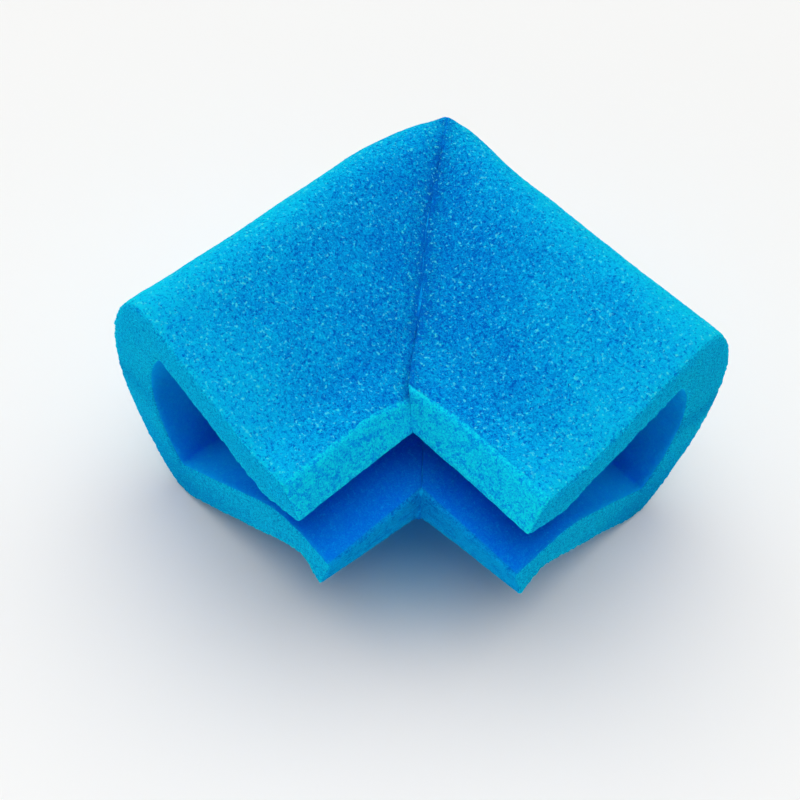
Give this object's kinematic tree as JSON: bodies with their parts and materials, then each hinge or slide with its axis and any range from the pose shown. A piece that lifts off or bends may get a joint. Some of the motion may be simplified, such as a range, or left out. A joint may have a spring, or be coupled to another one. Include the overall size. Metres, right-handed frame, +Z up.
{
  "type": "foam corner protector",
  "caption": "L-shaped corner protector of blue closed-cell foam, with two sprung C-shaped channels that grip the edges of a panel.",
  "frame": {"origin": "centre of the bounding box's bottom face, on the surface that the protector rests on", "axes": "+Z up; the right arm runs along +X and the left arm along -Y from the outer corner at -X, +Y; both mouths face the inner corner at +X, -Y"},
  "size_m": [0.12, 0.12, 0.088],
  "materials": {
    "foam": "matte",
    "weld": "satin"
  },
  "bodies": {
    "lower_shells": {"left_lower_shell": "foam", "right_lower_shell": "foam", "lower_weld_film": "weld"},
    "left_upper": {"left_upper_shell": "foam", "upper_weld_film": "weld"},
    "right_upper": {"right_upper_shell": "foam"}
  },
  "joints": [
    {"name": "left_flex", "type": "hinge", "parent": "lower_shells", "child": "left_upper", "pos_m": [-0.06, 0, 0.044], "axis": [0, -1, 0], "range_deg": [0, 20], "stiffness_Nm_per_rad": 0.3, "springref_deg": -2.86},
    {"name": "right_flex", "type": "hinge", "parent": "lower_shells", "child": "right_upper", "pos_m": [0, 0.06, 0.044], "axis": [-1, 0, 0], "range_deg": [0, 20], "stiffness_Nm_per_rad": 0.3, "springref_deg": -2.86}
  ],
  "couplings": [
    {"joint": "right_flex", "follows": "left_flex", "ratio": 1}
  ]
}
